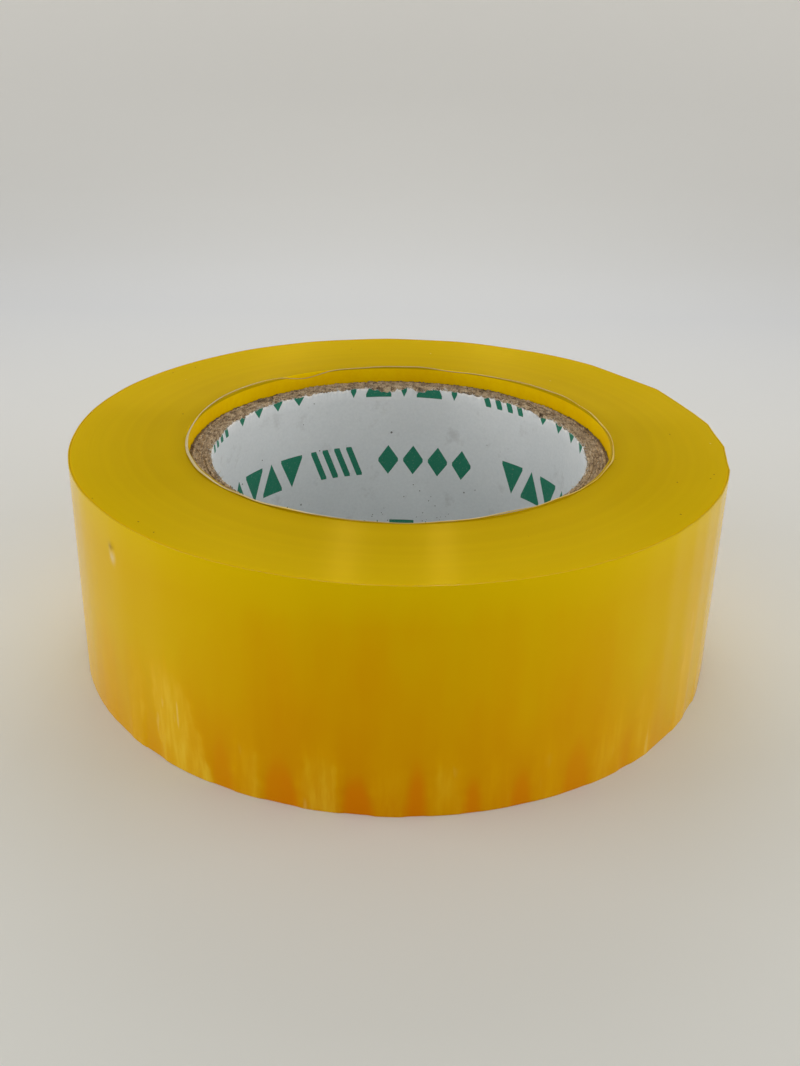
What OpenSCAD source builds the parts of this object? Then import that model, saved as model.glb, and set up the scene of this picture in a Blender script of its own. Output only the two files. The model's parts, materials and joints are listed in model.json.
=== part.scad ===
// Roll of clear amber packing tape on a spiral-wound paperboard core.
// The roll lies on one of its flat sides. Origin: centre of the lower side. +Z: along the roll's axis.
// The last stretch of the tape can be peeled off the roll: it is a chain of short film pieces,
// joined edge to edge by fold lines that run across the tape.

/* [Roll] */
// Width of the tape
tape_w = 45; // [40:1:50]
// Outside diameter of the full roll
roll_d = 131; // [110:1:160]
// Thickness of the first turn, which is bonded to the core
first_turn_t = 0.4; // [0.2:0.1:1]
// Thickness of the loose turns at the outside of the roll
last_turn_t = 0.2; // [0.15:0.05:0.5]

/* [Core] */
// Inside diameter of the lined core
core_id = 76; // [75:0.1:78]
// Outside diameter of the core
core_od = 85; // [82:0.5:90]
// Number of paperboard plies in the core's wall
ply_count = 7; // [4:1:10]
// Distance from the tape's edge down to the end of the core
core_recess = 3.3; // [2:0.1:5]
// Glue line between two plies
glue_gap = 0.03; // [0.02:0.01:0.05]
// Slope of the butt joint in each ply, from the roll's flat side
ply_slope = 32; // [32:1:40]
// Width of the butt joint in each ply
ply_joint = 0.3; // [0.2:0.1:1]

/* [Liner] */
// Thickness of the printed paper inside the core
liner_t = 0.12; // [0.08:0.01:0.3]

/* [Free end] */
// Number of film pieces in the peelable end
end_count = 5; // [3:1:8]
// Angle round the roll that one film piece covers
end_step = 7.875; // [5:0.125:10]
// Direction of the line where the tape leaves the roll
peel_line = 70; // [0:5:355]
// Thickness of the film in the free end
film_t = 0.1; // [0.08:0.01:0.15]
// Gap at a fold line, in degrees round the roll
fold_gap = 0.04; // [0.02:0.01:0.1]
// Height by which the free film stays clear of the roll's two sides
film_clear = 0.1; // [0.05:0.05:0.5]

/* [Hidden] */
$fn = 180;
cut = 1; // how far a cutting shape runs past what it cuts
roll_r = roll_d / 2;
wound_r = roll_r - last_turn_t;
core_r = core_od / 2;
core_len = tape_w - 2 * core_recess;
liner_r = core_id / 2;
board_r = liner_r + liner_t;
ply_pitch = (core_r - board_r) / ply_count;
first_turn_r = core_r + glue_gap;
winding_r = first_turn_r + first_turn_t + glue_gap;
end_span = end_count * end_step;
golden_turn = 137.5; // spreads the plies' joints round the core
film = [0.83, 0.67, 0.06];
board = [0.60, 0.50, 0.38];
paper = [0.86, 0.87, 0.87];

// A plain tube that stands on the plane z = base.
module tube(inner, outer, base, height) {
    translate([0, 0, base])
        difference() {
            cylinder(r = outer, h = height);
            translate([0, 0, -cut])
                cylinder(r = inner, h = height + 2 * cut);
        }
}

// A stretch of tube from one direction to another, anticlockwise seen from above.
module arc_shell(inner, outer, base, height, from, to) {
    rotate([0, 0, from])
        rotate_extrude(angle = to - from)
            translate([inner, base])
                square([outer - inner, height]);
}

// The thin slanted slot where the two edges of a spiral-wound strip meet, in the direction given.
module strip_joint(direction, outer) {
    rotate([0, 0, direction])
        translate([0, 0, tape_w / 2])
            rotate([ply_slope, 0, 0])
                translate([0, -1.5 * outer, -ply_joint / 2])
                    cube([2 * outer, 3 * outer, ply_joint]);
}

// A spiral-wound strip of the core, cut to the core's length.
module wound_strip(inner, outer, direction) {
    difference() {
        tube(inner, outer, core_recess, core_len);
        strip_joint(direction, outer);
    }
}

// The printed paper that lines the core's hole.
module printed_liner() {
    color(paper)
        wound_strip(liner_r, board_r - glue_gap, -90);
}

// One ply of paperboard. Ply 1 is the innermost.
module core_ply(i) {
    inner = board_r + (i - 1) * ply_pitch;
    color(board)
        wound_strip(inner, inner + ply_pitch - glue_gap, -90 + i * golden_turn);
}

// The start of the tape, bonded round the core and wider than it.
module tape_first_turn() {
    color(film)
        tube(first_turn_r, first_turn_r + first_turn_t, 0, tape_w);
}

// The several hundred turns between the first one and the last ones.
module tape_winding() {
    color(film)
        tube(winding_r, wound_r - glue_gap, 0, tape_w);
}

// The outermost turns, from the tip of the free end round to the peel line.
module tape_last_turn() {
    color(film)
        arc_shell(wound_r, roll_r, 0, tape_w, peel_line + end_span + fold_gap, peel_line + 360 - fold_gap / 2);
}

// One film piece of the free end. Piece 1 starts at the peel line.
module tape_end(i) {
    start = peel_line + (i - 1) * end_step;
    color(film)
        arc_shell(
            roll_r - film_t, roll_r, film_clear, tape_w - 2 * film_clear,
            start + fold_gap / 2, start + end_step - fold_gap / 2
        );
}

printed_liner();
for (i = [1:ply_count])
    core_ply(i);
tape_first_turn();
tape_winding();
tape_last_turn();
for (i = [1:end_count])
    tape_end(i);
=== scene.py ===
"""Looks for a roll of clear amber packing tape on a spiral-wound paperboard core.

Most pieces are rings or stretches of a ring, made by sweep(), which carries a cross-section round the
roll's axis. Directions are in degrees round that axis, anticlockwise from +X as seen from above. The camera
looks from the -Y side, so the direction -90 faces it.
"""

import json
import math
import random

import bpy
import numpy as np
from mathutils import Matrix, Vector


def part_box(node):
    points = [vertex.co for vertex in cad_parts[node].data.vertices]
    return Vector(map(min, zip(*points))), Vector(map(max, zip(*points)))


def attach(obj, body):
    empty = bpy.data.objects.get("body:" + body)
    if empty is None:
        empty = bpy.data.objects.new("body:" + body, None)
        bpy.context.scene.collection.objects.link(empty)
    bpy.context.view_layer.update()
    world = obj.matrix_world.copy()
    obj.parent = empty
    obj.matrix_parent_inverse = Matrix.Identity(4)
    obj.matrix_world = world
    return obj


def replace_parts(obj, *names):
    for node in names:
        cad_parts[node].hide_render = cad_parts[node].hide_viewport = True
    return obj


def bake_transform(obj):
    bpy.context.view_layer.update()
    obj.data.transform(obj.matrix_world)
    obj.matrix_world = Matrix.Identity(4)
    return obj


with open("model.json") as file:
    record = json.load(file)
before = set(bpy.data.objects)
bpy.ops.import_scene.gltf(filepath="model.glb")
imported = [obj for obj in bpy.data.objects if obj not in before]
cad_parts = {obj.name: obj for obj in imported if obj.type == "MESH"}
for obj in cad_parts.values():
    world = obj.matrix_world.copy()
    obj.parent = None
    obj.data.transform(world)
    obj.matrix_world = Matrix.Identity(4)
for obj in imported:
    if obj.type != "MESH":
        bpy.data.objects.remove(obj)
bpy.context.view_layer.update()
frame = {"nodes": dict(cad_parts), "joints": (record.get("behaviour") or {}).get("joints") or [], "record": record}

MM = 0.001


# ---------------------------------------------------------------- sizes, from the frame


def radii(node):
    """The smallest and largest distance of a CAD node's points from the roll's axis."""
    points = np.array([v.co for v in frame["nodes"][node].data.vertices])
    away = np.hypot(points[:, 0], points[:, 1])
    return float(away.min()), float(away.max())


def numbered(stem):
    """The CAD nodes stem1, stem2 and so on, in order."""
    nodes = [node for node in frame["nodes"] if node.startswith(stem)]
    return sorted(nodes, key=lambda node: int(node[len(stem):]))


PLIES = numbered("core_ply_")
ENDS = numbered("tape_end_")
BORE_R = frame["record"]["mounts"][0]["dims"]["r_mm"] * MM
WOUND_R, ROLL_R = radii("tape_last_turn")
WINDING_IN, WINDING_OUT = radii("tape_winding")
FIRST_IN, FIRST_OUT = radii("tape_first_turn")
BOARD_IN, BOARD_OUT = radii(PLIES[0])[0], radii(PLIES[-1])[1]
LINER_OUT = radii("printed_liner")[1]
FILM_T = ROLL_R - radii(ENDS[0])[0]
TAPE_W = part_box("tape_winding")[1].z
CORE_LOW, CORE_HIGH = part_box(PLIES[0])[0].z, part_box(PLIES[0])[1].z
MIDDLE = TAPE_W / 2
HALF_CORE = CORE_HIGH - MIDDLE

# The free end bends at fold lines, which are its joints. The first is where it leaves the roll.
JOINTS = {joint["child"]: Vector(joint["pos_m"]) for joint in frame["joints"]}
FOLDS = [math.degrees(math.atan2(place.y, place.x)) for _, place in sorted(JOINTS.items())]
FOLD_STEP = FOLDS[1] - FOLDS[0]
PEEL_LINE = FOLDS[0]
TAPE_TIP = FOLDS[-1] + FOLD_STEP


# ---------------------------------------------------------------- mesh helpers


def turned(direction, centre):
    """How far a direction is from centre, in degrees, from -180 to 180."""
    return (direction - centre + 180) % 360 - 180


def bell(x, width):
    """A bump of height 1 at x = 0 that is down to about a third at x = width."""
    return np.exp(-((x / width) ** 2))


def ripple(direction, seed, lowest, highest):
    """Smooth random waves round the roll, of height about 1, with lowest to highest waves a turn."""
    dice = random.Random(seed)
    total = 0 * direction
    for waves in range(lowest, highest + 1):
        size = dice.uniform(0.5, 1)
        total = total + size * np.cos(np.radians(waves * direction) + dice.uniform(0, 2 * math.pi))
    return total / math.sqrt((highest - lowest + 1) / 2)


def grain(shape, seed, passes):
    """Random relief with a spread of 1 that is smoothed round the roll and meets itself."""
    field = np.random.default_rng(seed).standard_normal(shape)
    for _ in range(passes):
        field = (np.roll(field, 1, 0) + 2 * field + np.roll(field, -1, 0)) / 4
    return field / field.std()


def cross_section(inner, outer, base, top, up, across, down, corner, corner_faces=3):
    """The outline of a ring's cross-section as rows of (radius, height), anticlockwise.

    corner is the radius of its rounded corners. up, across and down are the numbers of faces on its outer
    side, on each of its ends and on its inner side.
    """
    corners = [
        (outer - corner, base + corner, -90, up),
        (outer - corner, top - corner, 0, across),
        (inner + corner, top - corner, 90, down),
        (inner + corner, base + corner, 180, across),
    ]
    arcs = []
    for radius, height, start, faces in corners:
        turns = [math.radians(start + 90 * step / corner_faces) for step in range(corner_faces + 1)]
        arc = [(radius + corner * math.cos(turn), height + corner * math.sin(turn)) for turn in turns]
        arcs.append((arc, faces))
    points = []
    for i, (arc, faces) in enumerate(arcs):
        points += arc
        next_arc = arcs[(i + 1) % 4][0]
        for step in range(1, faces):
            share = step / faces
            points.append(tuple(a + (b - a) * share for a, b in zip(arc[-1], next_arc[0])))
    return np.array(points)


def new_piece(name, points, faces, material, smooth=True):
    """A mesh object of that name and material."""
    mesh = bpy.data.meshes.new(name)
    mesh.from_pydata(points, [], faces)
    mesh.polygons.foreach_set("use_smooth", [smooth] * len(mesh.polygons))
    mesh.materials.append(material)
    mesh.update()
    piece = bpy.data.objects.new(name, mesh)
    bpy.context.scene.collection.objects.link(piece)
    return piece


def sweep(name, outline, directions, material, shape, marks=None):
    """A cross-section carried round the axis through directions, which closes up if they go right round.

    shape(direction, radius, height) gives the three arrays back, changed. marks gives named values for
    the points from the same three arrays, for the material to read.
    """
    covered = abs(directions[-1] - directions[0])
    whole_turn = covered > 360 - 2 * abs(directions[1] - directions[0])
    count, size = len(directions), len(outline)
    plain = (
        np.repeat(np.array(directions)[:, None], size, 1),
        np.repeat(outline[None, :, 0], count, 0),
        np.repeat(outline[None, :, 1], count, 0),
    )
    direction, radius, height = shape(*plain)
    angle = np.radians(direction)
    points = np.stack([radius * np.cos(angle), radius * np.sin(angle), height], 2).reshape(-1, 3)
    steps = count if whole_turn else count - 1
    here = np.arange(steps)[:, None] * size
    there = (np.arange(steps)[:, None] + 1) % count * size
    this = np.arange(size)[None, :]
    following = (this + 1) % size
    corners = [here + this, there + this, there + following, here + following]
    faces = np.stack(corners, 2).reshape(-1, 4).tolist()
    if not whole_turn:
        faces += [list(range(size))[::-1], list(range((count - 1) * size, count * size))]
    piece = new_piece(name, points.tolist(), faces, material)
    for cap in range(steps * size, len(faces)):
        piece.data.polygons[cap].use_smooth = False
    for key, values in (marks(*plain) if marks else {}).items():
        layer = piece.data.attributes.new(key, "FLOAT", "POINT")
        layer.data.foreach_set("value", np.broadcast_to(values, radius.shape).astype(np.float32).ravel())
    return piece


def tube_faces(first, rows, sides):
    """The faces of a closed tube. Its points lie in rows of as many as it has sides, from first on."""
    ring = range(sides)
    faces = []
    for row in range(rows - 1):
        here, there = first + sides * row, first + sides * (row + 1)
        for corner in ring:
            following = (corner + 1) % sides
            faces.append((here + corner, here + following, there + following, there + corner))
    last = first + sides * (rows - 1)
    faces.append(tuple(first + corner for corner in reversed(ring)))
    faces.append(tuple(last + corner for corner in ring))
    return faces


def whole_circle(count):
    """Directions all the way round, without the last one, which would meet the first."""
    return np.arange(count) * 360 / count


# ---------------------------------------------------------------- material helpers


class Shader:
    """A Principled material with short calls for the nodes that feed it.

    A setting such as Coat_Weight=0.5 goes on the socket "Coat Weight".
    """

    def __init__(self, name, **settings):
        self.material = bpy.data.materials.new(name)
        self.material.use_nodes = True
        self.tree = self.material.node_tree
        self.surface = self.tree.nodes["Principled BSDF"]
        for socket, value in settings.items():
            self.surface.inputs[socket.replace("_", " ")].default_value = value
        self.place = self.node("ShaderNodeTexCoord").outputs["Object"]

    def node(self, kind, inputs=(), **properties):
        """A new node. Its inputs are values or other nodes' sockets."""
        made = self.tree.nodes.new(kind)
        for key, value in properties.items():
            setattr(made, key, value)
        for key, value in dict(inputs).items():
            self.feed(made.inputs[key], value)
        return made

    def feed(self, socket, value):
        """Links a socket to another node's, or sets its value."""
        if isinstance(value, bpy.types.NodeSocket):
            self.tree.links.new(value, socket)
        else:
            socket.default_value = value

    def put(self, socket, value):
        """Feeds one of the surface's own sockets."""
        self.feed(self.surface.inputs[socket], value)

    def math(self, operation, a, b=0.0, clamp=False):
        return self.node("ShaderNodeMath", {0: a, 1: b}, operation=operation, use_clamp=clamp).outputs[0]

    def plus(self, a, b):
        return self.math("ADD", a, b)

    def minus(self, a, b):
        return self.math("SUBTRACT", a, b)

    def times(self, a, b, clamp=False):
        return self.math("MULTIPLY", a, b, clamp)

    def fit(self, value, low, high, to_low=0.0, to_high=1.0):
        """Carries the range low to high over to the range to_low to to_high, and stays inside it."""
        sockets = {"Value": value, "From Min": low, "From Max": high, "To Min": to_low, "To Max": to_high}
        return self.node("ShaderNodeMapRange", sockets).outputs["Result"]

    def mark(self, name):
        """A named value of the mesh's points."""
        return self.node("ShaderNodeAttribute", attribute_name=name).outputs["Fac"]

    def noise(self, scale, detail, stretch=(1, 1, 1), roughness=0.5):
        """Cloudy noise, mostly from 0.3 to 0.7. A stretch under 1 draws it out along that axis."""
        moved = self.node("ShaderNodeMapping", {"Vector": self.place, "Scale": stretch}).outputs[0]
        sockets = {"Vector": moved, "Scale": scale, "Detail": detail, "Roughness": roughness}
        return self.node("ShaderNodeTexNoise", sockets).outputs["Fac"]

    def mottle(self, coarse, fine, detail):
        """Large soft patches with finer ones over them, from 0 to 1."""
        large = self.fit(self.noise(coarse, detail), 0.3, 0.7, 0, 0.6)
        return self.plus(large, self.fit(self.noise(fine, detail), 0.3, 0.7, 0, 0.4))

    def rings(self, away, scale, detail):
        """Noise that changes only with the distance from the roll's axis."""
        sockets = {"W": away, "Scale": scale, "Detail": detail}
        return self.node("ShaderNodeTexNoise", sockets, noise_dimensions="1D").outputs["Fac"]

    def specks(self, scale, size, share):
        """1 in small round spots. share is how many of the cells hold one."""
        cell = self.node("ShaderNodeTexVoronoi", {"Vector": self.place, "Scale": scale})
        pick = self.node("ShaderNodeSeparateColor", {"Color": cell.outputs["Color"]}).outputs[0]
        near = self.math("LESS_THAN", cell.outputs["Distance"], size)
        return self.times(near, self.math("LESS_THAN", pick, share))

    def ramp(self, value, stops):
        """Colours at stops from 0 to 1, with even changes between them."""
        made = self.node("ShaderNodeValToRGB", {"Fac": value})
        bar = made.color_ramp.elements
        while len(bar) < len(stops):
            bar.new(0.5)
        for element, (at, colour) in zip(bar, stops):
            element.position, element.color = at, (*colour, 1)
        return made.outputs["Color"]

    def mix(self, share, a, b):
        """Colour a where share is 0, colour b where it is 1."""
        made = self.node("ShaderNodeMix", data_type="RGBA", clamp_factor=True)
        self.feed(made.inputs["Factor"], share)
        for key, value in (("A", a), ("B", b)):
            socket = [each for each in made.inputs if each.name == key and each.type == "RGBA"][0]
            self.feed(socket, value if isinstance(value, bpy.types.NodeSocket) else (*value, 1))
        return [each for each in made.outputs if each.type == "RGBA"][0]

    def across(self):
        """(distance from the roll's axis, height) in metres."""
        parts = self.node("ShaderNodeSeparateXYZ", {0: self.place})
        squares = [self.times(parts.outputs[i], parts.outputs[i]) for i in (0, 1)]
        return self.math("SQRT", self.plus(*squares)), parts.outputs[2]

    def from_middle(self):
        """Distance from the roll's half height, in metres."""
        return self.math("ABSOLUTE", self.minus(self.across()[1], MIDDLE))

    def bump(self, height, distance, strength):
        sockets = {"Height": height, "Distance": distance, "Strength": strength}
        return self.node("ShaderNodeBump", sockets).outputs[0]


# ---------------------------------------------------------------- colours, linear

# The wall's amber from low to high: the deeper orange low down is painted shade, and AMBER_BAND along the top is
# painted light.
AMBER_LOW = (0.67, 0.235, 0.0003)
AMBER_LOWER = (0.70, 0.305, 0.0003)
AMBER_MIDDLE = (0.73, 0.365, 0.0003)
AMBER_HIGH = (0.745, 0.465, 0.0005)
AMBER_BAND = (0.77, 0.53, 0.0006)
AMBER_LOBE = (0.73, 0.215, 0.0003)
AMBER_LOOSE = (0.81, 0.45, 0.001)
AMBER_HAZE = (0.86, 0.60, 0.05)
AMBER_DAB = (0.90, 0.70, 0.22)
AMBER_EDGE = (0.54, 0.35, 0.0003)
AMBER_EDGE_LIGHT = (0.70, 0.465, 0.0004)
AMBER_INNER = (0.86, 0.515, 0.0004)
AMBER_INNER_LIGHT = (0.94, 0.63, 0.0006)
AMBER_SHINE = (1.0, 0.75, 0.0, 1)
BUBBLE_PALE = (0.85, 0.68, 0.36)
BUBBLE_RIM = (0.26, 0.13, 0.02)
FILM_DIRT = (0.12, 0.06, 0.01)
FILM_DUST = (0.86, 0.72, 0.30)
LIP_PALE = (0.57, 0.445, 0.18)
BOARD_DARK = (0.15, 0.092, 0.052)
BOARD_MIDDLE = (0.57, 0.42, 0.26)
BOARD_LIGHT = (0.82, 0.66, 0.45)
BOARD_FLAKE = (0.78, 0.70, 0.57)
BOARD_GRIT = (0.06, 0.03, 0.015)
# Painted shade for the board.
BOARD_PAINTED_SHADE = (0.10, 0.055, 0.025)
PAPER_GREY = (0.69, 0.725, 0.755)
PAPER_LIGHT = (0.81, 0.84, 0.865)
PAPER_SMUDGE = (0.36, 0.35, 0.35)
PAPER_SCUFF = (0.06, 0.055, 0.05)
PAPER_TORN = (0.97, 0.955, 0.93)
INK_GREEN = (0.004, 0.20, 0.115)
INK_WORN = (0.20, 0.36, 0.29)
WHITE_FIBRE = (0.62, 0.59, 0.53), (0.95, 0.93, 0.88)
TAN_FIBRE = (0.30, 0.21, 0.13), (0.66, 0.54, 0.38)
DUST = (0.03, 0.028, 0.025), (0.13, 0.12, 0.11)
STUDIO_GREY = (0.7, 0.7, 0.7)
# Painted light and shade along the studio's paper, lighter and darker by turns, as shares of the way from
# STUDIO_NEAR to STUDIO_FAR, in metres.
STUDIO_NEAR, STUDIO_FAR = -0.4, 0.8
STUDIO_PAINTED_LIGHT_STOPS = [
    (0.08, (0.83, 0.83, 0.78)),
    (0.33, (0.82, 0.835, 0.815)),
    (0.42, (0.77, 0.775, 0.76)),
    (0.54, (0.69, 0.705, 0.725)),
    (0.71, (0.75, 0.75, 0.73)),
    (0.90, (0.90, 0.885, 0.84)),
]
LAMP_SOFT = (1, 0.98, 0.95)
LAMP_NEUTRAL = (1, 0.99, 0.97)
LAMP_WHITE = (1, 1, 1)
ROOM = (1.0, 0.985, 0.96, 1)
ROOM_STRENGTH = 0.47


# ---------------------------------------------------------------- materials


def amber_wall():
    """Smooth outer face of the film: deeper orange low down and in front and behind, which is painted shade, paler
    at the left, right and in a band at the top, which is painted light, with pale haze where a turn is loose.

    Its marks are those of film_marks(). Most of its noise is drawn out upwards, so that streaks run up it.
    """
    look = Shader("amber_wall", IOR=1.17, Specular_Tint=AMBER_SHINE)
    _, height = look.across()
    patchy = look.fit(look.noise(60, 3, (1, 1, 0.6)), 0.3, 0.7, -0.14, 0.14)
    veins = look.fit(look.noise(170, 3, (1, 1, 0.14)), 0.3, 0.7, -0.09, 0.09)
    # Painted light and shade: paler at the left and right, deeper orange in front and behind and low down.
    painted_light_at_sides = look.fit(look.mark("depth"), 0, 1, 0.92, 0.0)
    level = look.plus(look.plus(look.fit(height, 0, TAPE_W), look.plus(patchy, veins)), painted_light_at_sides)
    amber = look.ramp(level, [(0, AMBER_LOW), (0.16, AMBER_LOWER), (0.5, AMBER_MIDDLE), (1, AMBER_HIGH)])
    # Painted light: a lighter band along the top 8 mm of the wall.
    amber = look.mix(look.fit(height, TAPE_W - 8 * MM, TAPE_W, 0, 0.8), amber, AMBER_BAND)
    upper_edge = look.fit(height, TAPE_W - 0.12 * MM, TAPE_W - 0.02 * MM)
    amber = look.mix(upper_edge, amber, AMBER_EDGE_LIGHT)
    # The deep orange lobes show only in front and behind, where the painted shade is.
    lobe = look.times(look.mark("lobe"), look.fit(look.mark("depth"), 0.55, 1, 0.0, 0.8), clamp=True)
    amber = look.mix(lobe, amber, AMBER_LOBE)
    torn = look.fit(look.noise(230, 3, (1, 1, 0.25)), 0.3, 0.7, 0.55, 1.35)
    haze = look.times(look.mark("haze"), torn, clamp=True)
    streaks = look.fit(look.noise(800, 3, (1, 1, 0.16)), 0.44, 0.66)
    loose = look.times(haze, look.fit(streaks, 0, 1, 0.6, 1.1), clamp=True)
    amber = look.mix(loose, amber, AMBER_LOOSE)
    pale = look.times(look.fit(haze, 0.35, 1.0), look.fit(streaks, 0, 1, 0.2, 0.6), clamp=True)
    amber = look.mix(pale, amber, AMBER_HAZE)
    spots = look.fit(look.noise(420, 2, (1, 1, 0.16)), 0.60, 0.66)
    dabs = look.times(spots, look.fit(haze, 0.3, 0.8), clamp=True)
    amber = look.mix(look.times(dabs, 0.5), amber, AMBER_DAB)
    amber = look.mix(look.times(look.mark("bubble"), 0.9), amber, BUBBLE_PALE)
    amber = look.mix(look.times(look.mark("rim"), 0.7), amber, BUBBLE_RIM)
    look.put("Base Color", amber)
    look.put("Roughness", look.fit(haze, 0, 1, 0.14, 0.26))
    look.put("Normal", look.bump(look.noise(160, 2, (1, 1, 0.12)), 0.22 * MM, 0.35))
    return look.material


def amber_edges():
    """The two flat sides, where the edges of the film's turns make fine rings that stretch any glint.

    They are lighter towards the outside of the roll, where light gets in from the wall as well.
    """
    look = Shader(
        "amber_edges",
        Roughness=0.24,
        IOR=1.04,
        Metallic=0.07,
        Anisotropic=1.0,
        Anisotropic_Rotation=0.25,
        Specular_Tint=AMBER_SHINE,
        Subsurface_Weight=0.2,
        Subsurface_Scale=2 * MM,
        Subsurface_Radius=(1.0, 0.6, 0.1),
    )
    away, height = look.across()
    bands = look.fit(look.rings(away, 330, 2), 0.3, 0.7, 0, 0.16)
    patchy = look.plus(bands, look.fit(look.noise(45, 2), 0.3, 0.7, 0, 0.16))
    light = look.plus(patchy, look.fit(away, WINDING_IN, WINDING_OUT, 0, 0.7))
    amber = look.mix(light, AMBER_EDGE, AMBER_EDGE_LIGHT)
    outer_wall = look.math("GREATER_THAN", away, WINDING_OUT - 0.4 * MM)
    inner_wall = look.math("LESS_THAN", away, WINDING_IN + 0.1 * MM)
    # Painted shade: the winding's outer wall takes the wall's amber, deeper orange low down.
    stops = [(0, AMBER_LOW), (0.3, AMBER_MIDDLE), (1, AMBER_HIGH)]
    amber = look.mix(outer_wall, amber, look.ramp(look.fit(height, 0, TAPE_W), stops))
    # Painted light: the winding's inner wall, in shade behind the first turn, gets the first turn's lighter inner
    # colour.
    amber = look.mix(inner_wall, amber, AMBER_INNER_LIGHT)
    amber = look.mix(look.times(look.specks(900, 0.16, 0.010), 0.75), amber, FILM_DIRT)
    amber = look.mix(look.times(look.specks(700, 0.14, 0.008), 0.6), amber, FILM_DUST)
    look.put("Base Color", amber)
    look.put("Normal", look.bump(look.rings(away, 2600, 3), 0.04 * MM, 0.5))
    look.put("Tangent", look.node("ShaderNodeTangent", direction_type="RADIAL", axis="Z").outputs[0])
    return look.material


def amber_inner():
    """Inner face of the first turn, which light reaches from both of its sides. Its edges are darker."""
    look = Shader("amber_inner", Roughness=0.3, IOR=1.07)
    amber = look.mix(look.mottle(70, 900, 2), AMBER_INNER, AMBER_INNER_LIGHT)
    edge = look.fit(look.from_middle(), MIDDLE - 0.35 * MM, MIDDLE - 0.2 * MM)
    look.put("Base Color", look.mix(edge, amber, AMBER_EDGE))
    look.put("Normal", look.bump(look.noise(600, 2, (1, 1, 0.3)), 0.1 * MM, 0.3))
    return look.material


def lip_film():
    """Edge of the first turns, which curls and goes pale."""
    look = Shader("lip_film", Roughness=0.3)
    look.put("Base Color", look.mix(look.mark("pale"), AMBER_EDGE_LIGHT, LIP_PALE))
    look.put("Normal", look.bump(look.noise(900, 2), 0.1 * MM, 0.4))
    return look.material


def paperboard(name, painted_shade):
    """Grey-brown recycled board, with light flakes and dark grit. Its second argument is how much painted shade
    darkens it.
    """
    look = Shader(name, Roughness=0.95, Specular_IOR_Level=0.2)
    fine = look.noise(3200, 4, roughness=0.7)
    coarse = look.fit(look.noise(700, 3), 0.35, 0.65, -0.10, 0.40)
    tone = look.plus(look.fit(fine, 0.35, 0.65, 0, 0.65), coarse)
    board = look.ramp(tone, [(0, BOARD_DARK), (0.5, BOARD_MIDDLE), (1, BOARD_LIGHT)])
    board = look.mix(look.times(look.specks(1500, 0.2, 0.07), 0.8), board, BOARD_FLAKE)
    board = look.mix(look.times(look.specks(1700, 0.24, 0.10), 0.85), board, BOARD_GRIT)
    look.put("Base Color", look.mix(painted_shade, board, BOARD_PAINTED_SHADE))
    look.put("Normal", look.bump(fine, 0.3 * MM, 0.8))
    return look.material


def liner_paper():
    """Grey-white coated paper with smudges, a few scuffs and white fibres along its torn edges."""
    look = Shader("liner_paper", Roughness=0.62)
    paper = look.mix(look.mottle(40, 1500, 3), PAPER_GREY, PAPER_LIGHT)
    smudge = look.fit(look.noise(150, 4, roughness=0.7), 0.58, 0.75)
    paper = look.mix(look.times(smudge, 0.35), paper, PAPER_SMUDGE)
    scuffs = look.times(look.specks(520, 0.13, 0.10), look.fit(look.noise(48, 2), 0.50, 0.58), clamp=True)
    paper = look.mix(look.times(scuffs, 0.85), paper, PAPER_SCUFF)
    from_tear = look.minus(look.minus(HALF_CORE, look.from_middle()), look.mark("tear"))
    torn = look.times(look.fit(from_tear, 0.7 * MM, 0.15 * MM), look.fit(look.noise(1100, 3), 0.42, 0.55))
    look.put("Base Color", look.mix(torn, paper, PAPER_TORN))
    look.put("Normal", look.bump(look.noise(2200, 3), 0.08 * MM, 0.5))
    return look.material


def green_ink():
    """Flat printing ink with a worn, speckled cover."""
    look = Shader("green_ink")
    worn = look.fit(look.noise(2600, 3), 0.60, 0.72)
    look.put("Base Color", look.mix(look.times(worn, 0.5), INK_GREEN, INK_WORN))
    look.put("Roughness", look.fit(look.noise(1500, 2), 0.3, 0.7, 0.45, 0.65))
    return look.material


def loose_fibre(name, dark, light):
    """Paper fibres or dust, from a dark to a light colour."""
    look = Shader(name, Roughness=0.9)
    look.put("Base Color", look.mix(look.fit(look.noise(900, 2), 0.35, 0.65), dark, light))
    return look.material


def studio_paper():
    """Pale seamless paper with painted light and shade along it: warm in front, cooler and greyer behind the roll
    and pale far back.
    """
    look = Shader("studio_paper", Roughness=0.85, Specular_IOR_Level=0.2)
    forward = look.node("ShaderNodeSeparateXYZ", {0: look.place}).outputs[1]
    # Painted light and shade: the paper's colour changes from front to back.
    tone = look.ramp(look.fit(forward, STUDIO_NEAR, STUDIO_FAR), STUDIO_PAINTED_LIGHT_STOPS)
    look.put("Base Color", look.mix(look.fit(look.noise(2, 2), 0.3, 0.7, 0, 0.03), tone, STUDIO_GREY))
    return look.material


WALL = amber_wall()
EDGES = amber_edges()
INNER = amber_inner()
LIP = lip_film()
BOARD = paperboard("paperboard", 0.0)
# The outermost ply is the board darkened by painted shade.
OUTER_BOARD_PAINTED_SHADE = paperboard("paperboard_outer_painted_shade", 0.55)
PAPER = liner_paper()
INK = green_ink()


# ---------------------------------------------------------------- shape of the wound film

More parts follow.
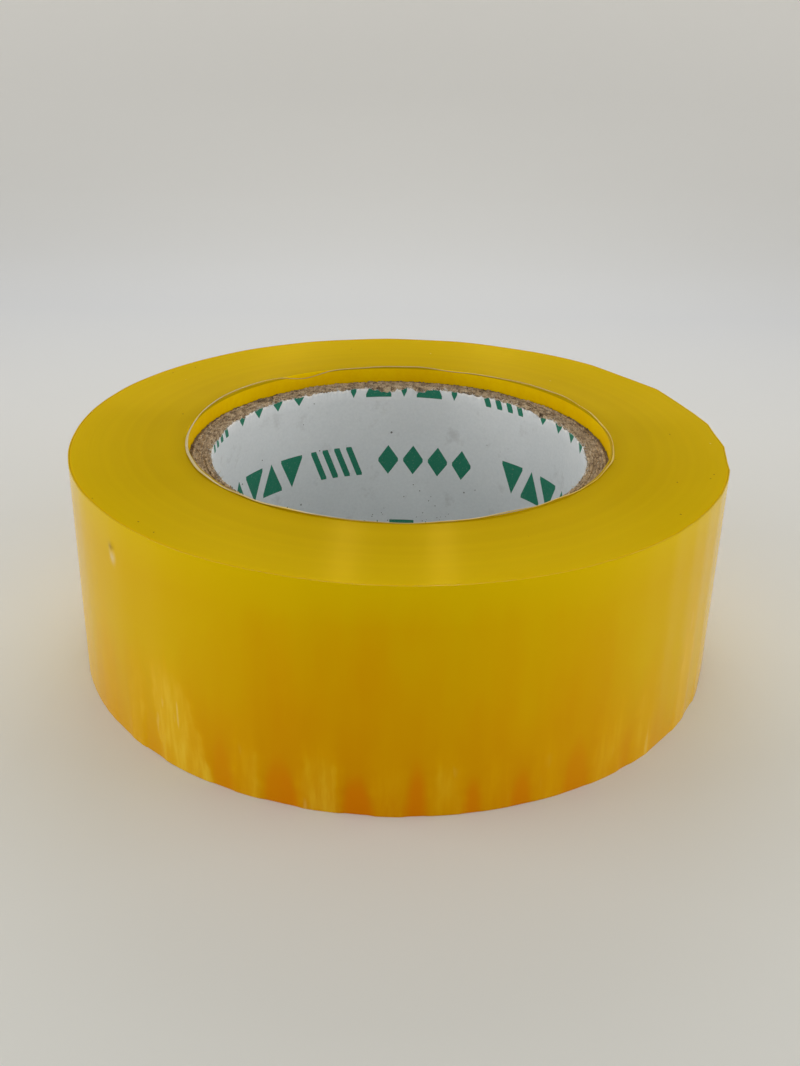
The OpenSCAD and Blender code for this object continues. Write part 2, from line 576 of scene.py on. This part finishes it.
# Along the lower edge the outer turns are loose: pale fingers reach up between lobes where the film is
# still tight and looks deep orange. A finger has its direction, half its width in degrees, the height of
# its top in mm, its strength, and its lean in degrees from foot to top.
FINGERS_IN_FRONT = [
    (-158, 4.0, 30, 0.45, 1),
    (-146, 2.6, 34, 0.30, 1),
    (-136.5, 2.2, 26, 0.60, 2),
    (-124.5, 5.2, 28, 0.90, -5),
    (-112.9, 2.6, 17, 0.50, 0),
    (-101, 3.4, 18, 0.55, 0),
    (-90.5, 2.6, 15, 0.35, 0),
    (-82, 2.8, 17, 0.40, 0),
    (-74, 2.4, 14, 0.35, 0),
    (-65.5, 2.8, 17, 0.35, 0),
    (-54.5, 3.4, 22, 0.40, 1),
    (-46, 2.6, 24, 0.45, 1),
    (-33, 2.8, 38, 0.55, 0),
]
FINGER_GAP = 10.5  # degrees between the fingers round the rest of the roll
FINGER_SOFT = 1.1  # degrees over which a finger's side fades, each way
LOBE_DEPTH = 0.17  # mm that the wall is drawn in at a lobe
LOBE_FADE = 8  # mm of height over which that fades


def all_fingers():
    """The fingers in front, and more of the same kind all the way round the rest of the roll."""
    dice = random.Random(7)
    fingers = list(FINGERS_IN_FRONT)
    direction = FINGERS_IN_FRONT[-1][0] + FINGER_GAP
    while direction < FINGERS_IN_FRONT[0][0] + 360 - FINGER_GAP / 2:
        fingers.append((
            direction + dice.uniform(-2, 2),
            dice.uniform(2.2, 4.5),
            dice.uniform(13, 30),
            dice.uniform(0.30, 0.75),
            dice.uniform(-3, 3),
        ))
        direction += FINGER_GAP
    return fingers


FINGERS = all_fingers()


def soft_step(x):
    """0 below x = 0, 1 above x = 1 and smooth between."""
    x = np.clip(x, 0, 1)
    return x * x * (3 - 2 * x)


def finger_field(direction, height):
    """How loose and hazy the outer film is, from 0 to 1. The fingers wander a little as they go up."""
    total = 0 * direction
    up = height / MM
    wander = 0.5 * np.sin(up * 0.9) + 0.3 * np.sin(up * 2.1 + 1)
    for centre, half, tall, strength, lean in FINGERS:
        aside = np.abs(turned(direction, centre + lean * up / tall + wander * 0.5))
        narrow = half * (1 - 0.5 * np.clip(up / tall, 0, 1) ** 2)
        beside = soft_step((narrow + FINGER_SOFT - aside) / (2 * FINGER_SOFT))
        total = np.maximum(total, strength * beside * soft_step((tall - up) / (0.55 * tall)))
    return total


def lobe_field(direction, height):
    """Where the lower edge is still deep orange: between neighbouring fingers, from 0 to 1.

    A lobe is taller where its gap is wider, and the sine only makes the heights differ.
    """
    total = 0 * direction
    up = height / MM
    ordered = sorted(FINGERS)
    for (left, left_half, *_), (right, right_half, *_) in zip(ordered, ordered[1:] + ordered[:1]):
        gap = (right - left) % 360
        half = max((gap - left_half - right_half) / 2, 1.2)
        centre = left + left_half + half
        tall = 9 + 1.4 * half + 2.5 * math.sin(centre)
        width = half * np.clip(1 - up / tall, 0, 1) ** 0.7 + 0.2
        inside = soft_step((width + 0.8 - np.abs(turned(direction, centre))) / 1.8)
        total = np.maximum(total, inside * soft_step((tall - up) / (0.6 * tall)))
    return total


# Flats are stretches of the upper outer edge that the film crosses nearly straight, from corner to corner.
FLAT_CORNERS = [46, 28, 8, -3, -14]
FLAT_SAG = 0.07  # mm for each degree of half a flat
FLAT_FADE = 14  # mm of height over which a flat fades below the edge
# The blister is a small bubble under the film.
BLISTER_AT = -139.6  # degrees
BLISTER_UP = 38  # mm
BLISTER_RISE = 0.30  # mm
# The flat sides of the winding.
SIDE_INSET = 0.05  # mm that they lie inside the tape's width
RING_RELIEF = 0.012  # mm, of the fine rings
DISH = 0.10  # mm that they are hollow halfway out


def flats(direction):
    """How far the upper outer edge lies inside its circle, in mm, between the flats' corners."""
    total = 0 * direction
    for left, right in zip(FLAT_CORNERS, FLAT_CORNERS[1:]):
        half = (left - right) / 2
        along = np.clip(turned(direction, (left + right) / 2) / half, -1, 1)
        total = total + (1 - along**2) * half * FLAT_SAG
    return total


def wall_wave(direction, height):
    """Height of the outer wall's relief over a true cylinder, in metres. It is added up in mm."""
    up = height / MM
    wide = 0.05 * ripple(direction, 3, 5, 12) + 0.02 * ripple(direction, 4, 20, 34)
    ribs = 0.022 * ripple(direction, 5, 40, 64) * (0.4 + bell(turned(direction, -25), 22))
    lobes = lobe_field(direction, 0 * height) * (1 + 0.5 * ripple(direction, 6, 3, 9))
    low = -LOBE_DEPTH * lobes * np.exp(-up / LOBE_FADE)
    high = -flats(direction) * np.exp(-(TAPE_W / MM - up) / FLAT_FADE)
    blister = BLISTER_RISE * bell(turned(direction, BLISTER_AT), 0.6) * bell(up - BLISTER_UP, 1.6)
    return (wide + ribs + low + high + blister) * MM


def edge_wave(direction):
    """Rise and fall of the roll's outer edges, in metres."""
    return (0.07 * ripple(direction, 11, 3, 9) + 0.03 * ripple(direction, 12, 12, 24)) * MM


def outwards(height, move):
    """How much a point is raised if it moves outwards by move, away from half height.

    Below, where the roll lies flat, nothing moves outwards: only the moves inwards are kept.
    """
    side = np.sign(height - MIDDLE)
    return side * np.where(side > 0, move, np.minimum(move, 0))


def bend_winding(direction, radius, height):
    """Gives the winding its uneven edges, its fine rings and its wavy outer wall."""
    wall_zone, side_zone = 3 * MM, 0.6 * MM
    near_wall = np.clip((radius - WINDING_OUT + wall_zone) / wall_zone, 0, 1)
    at_side = np.clip((np.abs(height - MIDDLE) - MIDDLE + side_zone) / side_zone, 0, 1)
    share = (radius - WINDING_IN) / (WINDING_OUT - WINDING_IN)
    turns = np.sin(share * 163) * 0.5 + np.sin(share * 71 + 1) + np.sin(share * 29 + 2)
    relief = RING_RELIEF * turns - DISH * np.sin(math.pi * share) ** 2
    relief = relief * MM + edge_wave(direction) * near_wall - SIDE_INSET * MM
    height = height + at_side * outwards(height, relief)
    return direction, radius + near_wall * wall_wave(direction, height), height


def winding():
    """All the film between the first turn and the last ones."""
    outline = cross_section(WINDING_IN, WINDING_OUT, 0, TAPE_W, 10, 44, 2, 0.15 * MM)
    piece = sweep("winding", outline, whole_circle(720), EDGES, bend_winding)
    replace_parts(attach(piece, "roll"), "tape_winding")


def bend_film(direction, radius, height):
    """Gives the outer film the wall's waves and the roll's uneven edges."""
    at_edge = np.clip(np.abs(height - MIDDLE) / MIDDLE, 0, 1) ** 8
    moved = height + at_edge * outwards(height, edge_wave(direction))
    return direction, radius + wall_wave(direction, height), moved


def film_marks(direction, radius, height):
    """Where the outer film is loose and hazy, where it is deep orange, its painted shade in front and behind, and
    its blister.
    """
    aside = turned(direction, BLISTER_AT)
    above = height / MM - BLISTER_UP
    return {
        "haze": finger_field(direction, height),
        "lobe": lobe_field(direction, height),
        # Painted shade: 1 in front and behind, where the amber is deeper orange, 0 at the left and right, where it
        # is paler.
        "depth": np.cos(np.radians(direction + 90)) ** 2 + 0.05 * ripple(direction, 31, 3, 9),
        "bubble": bell(aside - 0.25, 0.5) * bell(above + 0.7, 1.1),
        "rim": bell(aside + 0.2, 0.8) * bell(above - 1.3, 0.5),
    }


def outer_film(name, start, end, inner, faces_up):
    """A stretch of the outermost film, from direction start to end.

    A very narrow row of faces at each end keeps the smooth shading of the wall apart from the end, so that
    no line shows where two pieces meet.
    """
    inset, corner = 0.02 * MM, 0.03 * MM
    row, narrow = 0.4, 0.008  # degrees
    outline = cross_section(inner, ROLL_R, inset, TAPE_W - inset, faces_up, 1, 8, corner)
    rows = np.linspace(start + narrow, end - narrow, int(round((end - start) / row)) + 1)
    return sweep(name, outline, np.array([start, *rows, end]), WALL, bend_film, film_marks)


def last_turn():
    """The outermost film, from the tape's tip round to the peel line."""
    gap = 0.02  # degrees, at the tape's tip and at the peel line
    piece = outer_film("last_turn_film", TAPE_TIP + gap - 360, PEEL_LINE - gap, WOUND_R, 70)
    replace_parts(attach(piece, "roll"), "tape_last_turn")


def free_end():
    """The peelable film, in pieces along one strip.

    Each piece but the last spans one fold line, from the middle of one CAD piece to the middle of
    the next. The first starts at the peel line itself, and the last runs up to the tape's tip and is attached to
    the last fold's body.
    """
    bodies = ["roll"] + sorted(JOINTS)
    cuts = [PEEL_LINE] + [fold + FOLD_STEP / 2 for fold in FOLDS] + [TAPE_TIP]
    for i, (start, end) in enumerate(zip(cuts, cuts[1:])):
        piece = outer_film(f"free_end_film_{i + 1}", start, end, ROLL_R - FILM_T, 60)
        if i < len(ENDS):
            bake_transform(piece)
            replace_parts(piece, ENDS[i])
        else:
            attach(piece, bodies[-1])


# ---------------------------------------------------------------- lip in the hole

LIP_RISE = 0.12  # mm over the flat side, on average
LIP_OUT = 0.32  # mm outside the first turn's inner face, on average
LIP_SIDES = 12  # faces round its cross-section
UNDER_LIP = 0.10  # mm from the lip's crest down to the film's own edge
FOLDED_DOWN = -0.3  # mm, the height under which the lip counts as folded


def lip_height(direction):
    """Height of the lip's crest over the flat side, in mm. It is folded down at two places."""
    folded = -1.0 * bell(turned(direction, 121), 6) - 0.4 * bell(turned(direction, 72), 7)
    return LIP_RISE + 0.16 * ripple(direction, 21, 3, 8) + 0.05 * ripple(direction, 22, 15, 30) + folded


def lip_radius(direction):
    """Distance of the lip's crest from the axis, in mm."""
    waves = 0.22 * ripple(direction, 23, 2, 6) + 0.05 * ripple(direction, 24, 14, 28)
    return FIRST_IN / MM + LIP_OUT + waves


def lip_width(direction):
    """Half the width of the pale lip, in mm. It is widest on the left, towards the camera."""
    return 0.12 + 0.15 * bell(turned(direction, -155), 30) + 0.04 * ripple(direction, 25, 6, 14)


def lip_pale(direction):
    """How pale the lip is. It turns amber again on the right, where it lies flat."""
    amber = soft_step((95 - np.abs(turned(direction, -25))) / 60)
    gaps = 0.8 * np.clip(ripple(direction, 27, 9, 23) - 0.8, 0, 1)
    return np.clip(1.0 - 0.9 * amber - gaps + 0.12 * ripple(direction, 26, 8, 20), 0, 1)


def bend_first_turn(direction, radius, height):
    """The first turn's upper edge follows the lip."""
    zone = 3 * MM
    at_edge = np.clip((height - TAPE_W + zone) / zone, 0, 1)
    return direction, radius, height + at_edge * (lip_height(direction) - UNDER_LIP) * MM


def first_turn():
    """The film that is bonded round the core and stands past both of its ends."""
    outline = cross_section(FIRST_IN, FIRST_OUT, 0, TAPE_W, 4, 1, 30, 0.05 * MM)
    piece = sweep("first_turn_film", outline, whole_circle(720), INNER, bend_first_turn)
    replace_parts(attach(piece, "roll"), "tape_first_turn")


def lip(name, top):
    """The pale curled rim of the first turn, at the roll's upper or lower side.

    Its cross-section is a circle of radius 1, which bend() makes into a thin leaf. The lower rim is pressed
    flat by what the roll lies on.
    """
    corner = 2 * math.pi / LIP_SIDES
    outline = np.array([(math.cos(i * corner), math.sin(i * corner)) for i in range(LIP_SIDES)])

    def bend(direction, aside, above):
        width = np.clip(lip_width(direction), 0.08, 1)
        thick = 0.07 + 0.05 * width
        crest = lip_height(direction)
        away = np.where(crest < FOLDED_DOWN, FIRST_IN / MM - 0.02, lip_radius(direction))
        curl = 0.25 * width * np.abs(aside)
        level = TAPE_W + (crest + thick * above + curl) * MM if top else (0.01 + thick * (1 - above)) * MM
        return direction, (away + width * aside) * MM, level

    def marks(direction, aside, above):
        return {"pale": lip_pale(direction)}

    if not top:
        outline = outline[::-1]
    piece = sweep(name, outline, whole_circle(900), LIP, bend, marks)
    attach(piece, "roll")


# ---------------------------------------------------------------- core

PLY_SLOPE = 32  # degrees, of the joint in each strip of the core
JOINT_WIDTH = 0.3  # mm
NOTCH_DEPTH = 1.6  # mm, where a joint meets the end of the core
LINER_JOINT = -90  # degrees, at half height
GOLDEN_TURN = 137.5  # degrees from the liner's joint to the first ply's, and from each ply's to the next
BOARD_LOSS = 0.12  # mm that the board's rough ends lie inside the core's length, on average


def joint_direction(joint, radius, height):
    """Where the slanted joint of a wound strip lies at a height."""
    return joint + math.degrees(math.asin((height - MIDDLE) / (radius * math.tan(math.radians(PLY_SLOPE)))))


def wound_strip(name, inner, outer, rim, material, steps, down, across, marks=None):
    """A strip of the core wound into a tube. steps, down and across are numbers of faces.

    rim(direction, radius, top) is how far its upper or lower end lies inside the core's length, in metres.
    """
    outline = cross_section(inner, outer, CORE_LOW, CORE_HIGH, 2, across, down, 0.02 * MM, 1)
    zone = 2 * MM

    def bend(direction, radius, height):
        near = np.clip((np.abs(height - MIDDLE) - HALF_CORE + zone) / zone, 0, 1)
        drop = np.where(height > MIDDLE, rim(direction, radius, True), -rim(direction, radius, False))
        return direction, radius, height - near * drop

    return sweep(name, outline, whole_circle(steps), material, bend, marks)


def torn_edge(direction):
    """How far the liner's edges lie inside the core's length, in metres. Four places are torn deeper."""
    ragged = np.abs(ripple(direction, 41, 30, 90)) * 0.24 + np.abs(ripple(direction, 42, 120, 220)) * 0.13
    torn = 1.0 * bell(turned(direction, 95), 3.0) + 0.7 * bell(turned(direction, 83), 2.2)
    torn = torn + 0.6 * bell(turned(direction, 36), 4) + 0.5 * bell(turned(direction, 172), 5)
    return (0.05 + ragged + torn) * MM


def core_boards():
    """The plies of the core, each with rough cut ends that show the joint of its strip as a notch."""
    for i, node in enumerate(PLIES):
        inner, outer = radii(node)
        joint = LINER_JOINT + (i + 1) * GOLDEN_TURN
        seed = 50 + i
        level = 0.10 * random.Random(seed).uniform(-1, 1)
        half_joint = math.degrees(JOINT_WIDTH / 2 / (outer / MM))

        def rim(direction, radius, top):
            crumbs = grain(radius.shape, seed + 100 * top, 1) * 0.10
            rough = crumbs + grain(radius.shape, seed + 20 + top, 12) * 0.08
            end = joint_direction(joint, outer, CORE_HIGH if top else CORE_LOW)
            notch = NOTCH_DEPTH * bell(turned(direction, end), 1.4 * half_joint)
            return (BOARD_LOSS + level + rough + 0.08 * ripple(direction, seed, 4, 15) + notch) * MM

        # The outermost ply gets the copy of the board with painted shade.
        material = OUTER_BOARD_PAINTED_SHADE if node == PLIES[-1] else BOARD
        piece = wound_strip(f"core_board_{i + 1}", inner, outer, rim, material, 1200, 2, 4)
        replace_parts(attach(piece, "roll"), node)


def liner():
    """The printed paper inside the core, torn along its edges."""

    def rim(direction, radius, top):
        return torn_edge(direction)

    def marks(direction, radius, height):
        return {"tear": torn_edge(direction)}

    piece = wound_strip("liner_sheet", BORE_R, LINER_OUT, rim, PAPER, 1440, 12, 1, marks)
    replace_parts(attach(piece, "roll"), "printed_liner")


def liner_joint():
    """The slanted joint in the liner, where the board shows through."""
    half = math.degrees(JOINT_WIDTH / 2 / (BORE_R / MM) / math.sin(math.radians(PLY_SLOPE)))
    front, back = BORE_R - 0.006 * MM, BORE_R + 0.02 * MM
    low, high = CORE_LOW + 0.4 * MM, CORE_HIGH - 0.4 * MM
    points = []
    steps = 60
    for step in range(steps + 1):
        height = low + (high - low) * step / steps
        middle = joint_direction(LINER_JOINT, BORE_R, height)
        for side, radius in ((-1, back), (1, back), (1, front), (-1, front)):
            angle = math.radians(middle + side * half)
            points.append((radius * math.cos(angle), radius * math.sin(angle), height))
    piece = new_piece("liner_joint", points, tube_faces(0, steps + 1, 4), BOARD, smooth=False)
    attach(piece, "roll")


# ---------------------------------------------------------------- print on the liner

MARK_H = 7.4  # mm
MARK_STEP = 8.927  # degrees from one mark to the next
GROUP_GAP = 4.6  # degrees between groups
REPEATS = 3  # times that the groups are repeated round the core
PRINT_START = 62.8  # degrees, of the middle row's first mark
ROW_UP = 19.9  # mm, height of the foot of the middle row
ROW_GAP = 19.5  # mm from row to row
INK_T = 0.012 * MM
THINNEST = 0.02 * MM  # the lowest strip of ink that is still drawn


def slant(left_low, left_high, width):
    """A leaning bar as high as a mark, with level ends."""
    return [(left_low, 0), (left_low + width, 0), (left_high + width, MARK_H), (left_high, MARK_H)]


# A mark is a list of convex outlines, with corners at (place along the core, height), in mm.
DIAMOND = [[(2.9, 0), (5.5, MARK_H / 2), (2.9, MARK_H), (0.3, MARK_H / 2)]]
LEANING_BARS = [slant(0, 2.8, 1.5), slant(2.96, 5.76, 1.5)]
TIP_DOWN = [[(0.2, MARK_H), (6.8, MARK_H), (3.5, 0)]]
TIP_UP = [[(0.2, 0), (6.8, 0), (3.5, MARK_H)]]
# The groups of marks in one repeat.
GROUPS = ([DIAMOND] * 4, [LEANING_BARS] * 2, [TIP_DOWN, TIP_UP, TIP_DOWN, TIP_UP, TIP_DOWN])


def level_at(outline, along):
    """The lowest and highest point of a convex outline at a place along the core."""
    tiny = 1e-9
    heights = []
    for (a, low), (b, high) in zip(outline, outline[1:] + outline[:1]):
        if min(a, b) - tiny <= along <= max(a, b) + tiny and abs(b - a) > tiny:
            heights.append(low + (high - low) * (along - a) / (b - a))
    return min(heights), max(heights)


def ink_columns(outline, direction, base):
    """The ink of one outline as columns of (angle, low, high), cut off at the liner's torn edges.

    It is cut up into runs of neighbouring columns, because a tear can leave several.
    """
    corners = {place for place, _ in outline}
    left, right = min(corners), max(corners)
    steps = 20
    places = sorted({left + (right - left) * step / steps for step in range(steps + 1)} | corners)
    turns = [direction + math.degrees(along / (BORE_R / MM)) for along in places]
    runs = [[]]
    for along, turn, edge in zip(places, turns, torn_edge(np.array(turns))):
        low, high = (base + level for level in level_at(outline, along))
        low, high = max(low * MM, CORE_LOW + edge), min(high * MM, CORE_HIGH - edge)
        if high - low >= THINNEST:
            runs[-1].append((math.radians(turn), low, high))
        else:
            runs.append([])
    return [run for run in runs if len(run) > 1]


def print_outline(outline, direction, base, points, faces):
    """Adds one outline of ink as thin solids on the liner."""
    front, back = BORE_R - INK_T, BORE_R + INK_T
    for run in ink_columns(outline, direction, base):
        faces += tube_faces(len(points), len(run), 4)
        for turn, low, high in run:
            for radius, height in ((front, low), (front, high), (back, high), (back, low)):
                points.append((radius * math.cos(turn), radius * math.sin(turn), height))


def liner_print():
    """Rows of plain marks round the liner. Each row starts half a repeat after the one below it."""
    for row in (-1, 0, 1):
        points, faces = [], []
        for repeat in range(REPEATS):
            direction = PRINT_START + (repeat + row / 2) * 360 / REPEATS
            for group in GROUPS:
                for mark in group:
                    for outline in mark:
                        print_outline(outline, direction, ROW_UP + row * ROW_GAP, points, faces)
                    direction += MARK_STEP
                direction += GROUP_GAP
        piece = new_piece(f"liner_print_{row + 2}", points, faces, INK, smooth=False)
        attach(piece, "roll")


# ---------------------------------------------------------------- fibres and dust

TAN_ROOTS = 0.15 * MM  # how far inside the core's length the board's fibres start
FLECK_T = 0.05 * MM  # how far a fleck stands out from the liner
# Specks of dust on the liner lie in loose clusters: direction, height in mm, spread in mm and number.
FLECK_CLUSTERS = [
    (97, 8, 2.5, 12),
    (78, 10, 3.5, 12),
    (88, 6, 5, 10),
    (60, 22, 7, 6),
    (128, 28, 7, 6),
    (200, 20, 9, 8),
]


def strand(start, along, length, thick, dice, points, faces):
    """Adds one fibre that starts out along a direction, wanders and tapers to a quarter of thick."""
    place, heading = Vector(start), Vector(along).normalized()
    segments, sides = 4, 3
    faces += tube_faces(len(points), segments + 1, sides)
    for i in range(segments + 1):
        side = heading.orthogonal().normalized()
        other = heading.cross(side)
        size = thick * (1 - 0.75 * i / segments)
        for corner in range(sides):
            angle = 2 * math.pi * corner / sides
            points.append(place + size * (math.cos(angle) * side + math.sin(angle) * other))
        place = place + heading * length / segments
        heading = (heading + Vector([dice.uniform(-0.5, 0.5) for _ in range(3)])).normalized()


def fibres(name, material, count, inner, outer, seed, longest, thickest):
    """Loose fibres along the core's two ends, between two distances from the axis.

    longest and thickest are in mm. Two thirds of the fibres are at the upper end.
    """
    dice = random.Random(seed)
    points, faces = [], []
    turns = [dice.uniform(0, 360) for _ in range(count)]
    edges = torn_edge(np.array(turns)) if inner < BOARD_IN else [TAN_ROOTS] * count
    for i, (turn, edge) in enumerate(zip(turns, edges)):
        top = i % 3 > 0
        radius = dice.uniform(inner, outer)
        angle = math.radians(turn)
        level = CORE_HIGH - edge if top else CORE_LOW + edge
        start = (radius * math.cos(angle), radius * math.sin(angle), level)
        lean = angle + dice.uniform(0, 2 * math.pi)
        rise = dice.uniform(0.1, 0.9) * (1 if top else -1)
        length = dice.uniform(0.25, 1) * longest * MM
        thick = dice.uniform(0.25, 1) * thickest * MM
        strand(start, (math.cos(lean), math.sin(lean), rise), length, thick, dice, points, faces)
    piece = new_piece(name, [tuple(point) for point in points], faces, material)
    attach(piece, "roll")


def all_fibres():
    """White fibres along the liner's torn edges, and tan ones along the board's cut ends."""
    white = loose_fibre("white_fibre", *WHITE_FIBRE)
    fibres("liner_fibres", white, 950, BORE_R, LINER_OUT + 0.3 * MM, 61, 1.1, 0.13)
    tan = loose_fibre("tan_fibre", *TAN_FIBRE)
    fibres("board_fibres", tan, 600, BOARD_IN, BOARD_OUT, 62, 0.8, 0.05)


def liner_flecks():
    """Small dark flecks of dust on the liner."""
    dice = random.Random(71)
    sides = 6
    points, faces = [], []
    for centre, up, spread, count in FLECK_CLUSTERS:
        for _ in range(count):
            turn = math.radians(centre) + dice.gauss(0, spread) * MM / BORE_R
            height = min(max((up + dice.gauss(0, spread)) * MM, CORE_LOW + MM), CORE_HIGH - 2 * MM)
            size = dice.uniform(0.05, 0.20) * MM
            faces += tube_faces(len(points), 2, sides)
            for radius in (BORE_R - FLECK_T, BORE_R + 0.02 * MM):
                for corner in range(sides):
                    angle = 2 * math.pi * corner / sides
                    reach = size * dice.uniform(0.5, 1)
                    around = turn + reach * math.cos(angle) / BORE_R
                    level = height + reach * math.sin(angle)
                    points.append((radius * math.cos(around), radius * math.sin(around), level))
    piece = new_piece("liner_flecks", points, faces, loose_fibre("dust", *DUST))
    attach(piece, "roll")


# ---------------------------------------------------------------- stage, light and camera


def studio():
    """Seamless paper that runs from in front of the roll up behind it. Its sizes are in metres."""
    front, bend_at, bend_r, top, half_width = -1.2, 0.34, 0.35, 1.4, 2.2
    bend_steps = 12
    line = [(front, 0.0), (bend_at, 0.0)]
    for step in range(1, bend_steps + 1):
        angle = math.radians(90 * step / bend_steps)
        line.append((bend_at + bend_r * math.sin(angle), bend_r * (1 - math.cos(angle))))
    line.append((bend_at + bend_r, top))
    points = [(x, y, z) for y, z in line for x in (-half_width, half_width)]
    faces = [(2 * i, 2 * i + 1, 2 * i + 3, 2 * i + 2) for i in range(len(line) - 1)]
    new_piece("studio_sweep", points, faces, studio_paper())


def lamp(name, place, size, power, colour):
    """A rectangular soft light that faces the roll."""
    data = bpy.data.lights.new(name, "AREA")
    data.shape = "RECTANGLE"
    data.size, data.size_y = size
    data.energy = power
    data.color = colour
    light = bpy.data.objects.new(name, data)
    light.location = place
    aim = Vector((0, 0, MIDDLE)) - Vector(place)
    light.rotation_euler = aim.to_track_quat("-Z", "Y").to_euler()
    bpy.context.scene.collection.objects.link(light)


def lights():
    """An even room with a soft light on each side, and two small ones behind that streak the rings."""
    world = bpy.data.worlds.new("studio_air")
    world.use_nodes = True
    air = world.node_tree.nodes["Background"]
    air.inputs["Color"].default_value = ROOM
    air.inputs["Strength"].default_value = ROOM_STRENGTH
    bpy.context.scene.world = world
    lamp("left_box", (-0.75, -0.05, 0.22), (0.5, 0.4), 1.9, LAMP_SOFT)
    lamp("right_box", (0.75, -0.05, 0.22), (0.5, 0.4), 1.8, LAMP_SOFT)
    lamp("front_box", (0, -0.85, 0.42), (0.7, 0.4), 0.6, LAMP_NEUTRAL)
    lamp("back_box", (0, 0.30, 0.30), (0.3, 0.15), 0.28, LAMP_NEUTRAL)
    lamp("back_left", (-0.033, 0.40, 0.30), (0.012, 0.03), 0.04, LAMP_WHITE)
    lamp("back_right", (0.028, 0.40, 0.30), (0.012, 0.03), 0.04, LAMP_WHITE)


def camera():
    """A phone held close in front of the roll and a little above it, tilted by about a degree."""
    data = bpy.data.cameras.new("camera")
    data.sensor_width = 36
    data.lens = 41.76
    data.clip_start = 0.01
    view = bpy.data.objects.new("camera", data)
    place = Vector((0, -0.2353, 0.1362))
    target = Vector((0.0005, 0, MIDDLE))
    aim = (target - place).to_track_quat("-Z", "Y").to_matrix().to_4x4()
    tilt = Matrix.Rotation(math.radians(1.2), 4, "Z")
    view.matrix_world = Matrix.Translation(place) @ aim @ tilt
    bpy.context.scene.collection.objects.link(view)
    bpy.context.scene.camera = view


# ---------------------------------------------------------------- the whole scene

camera()
winding()
last_turn()
free_end()
first_turn()
lip("lip_upper", True)
lip("lip_lower", False)
core_boards()
liner()
liner_joint()
liner_print()
liner_flecks()
all_fibres()
studio()
lights()
bpy.context.scene.view_settings.view_transform = "Standard"
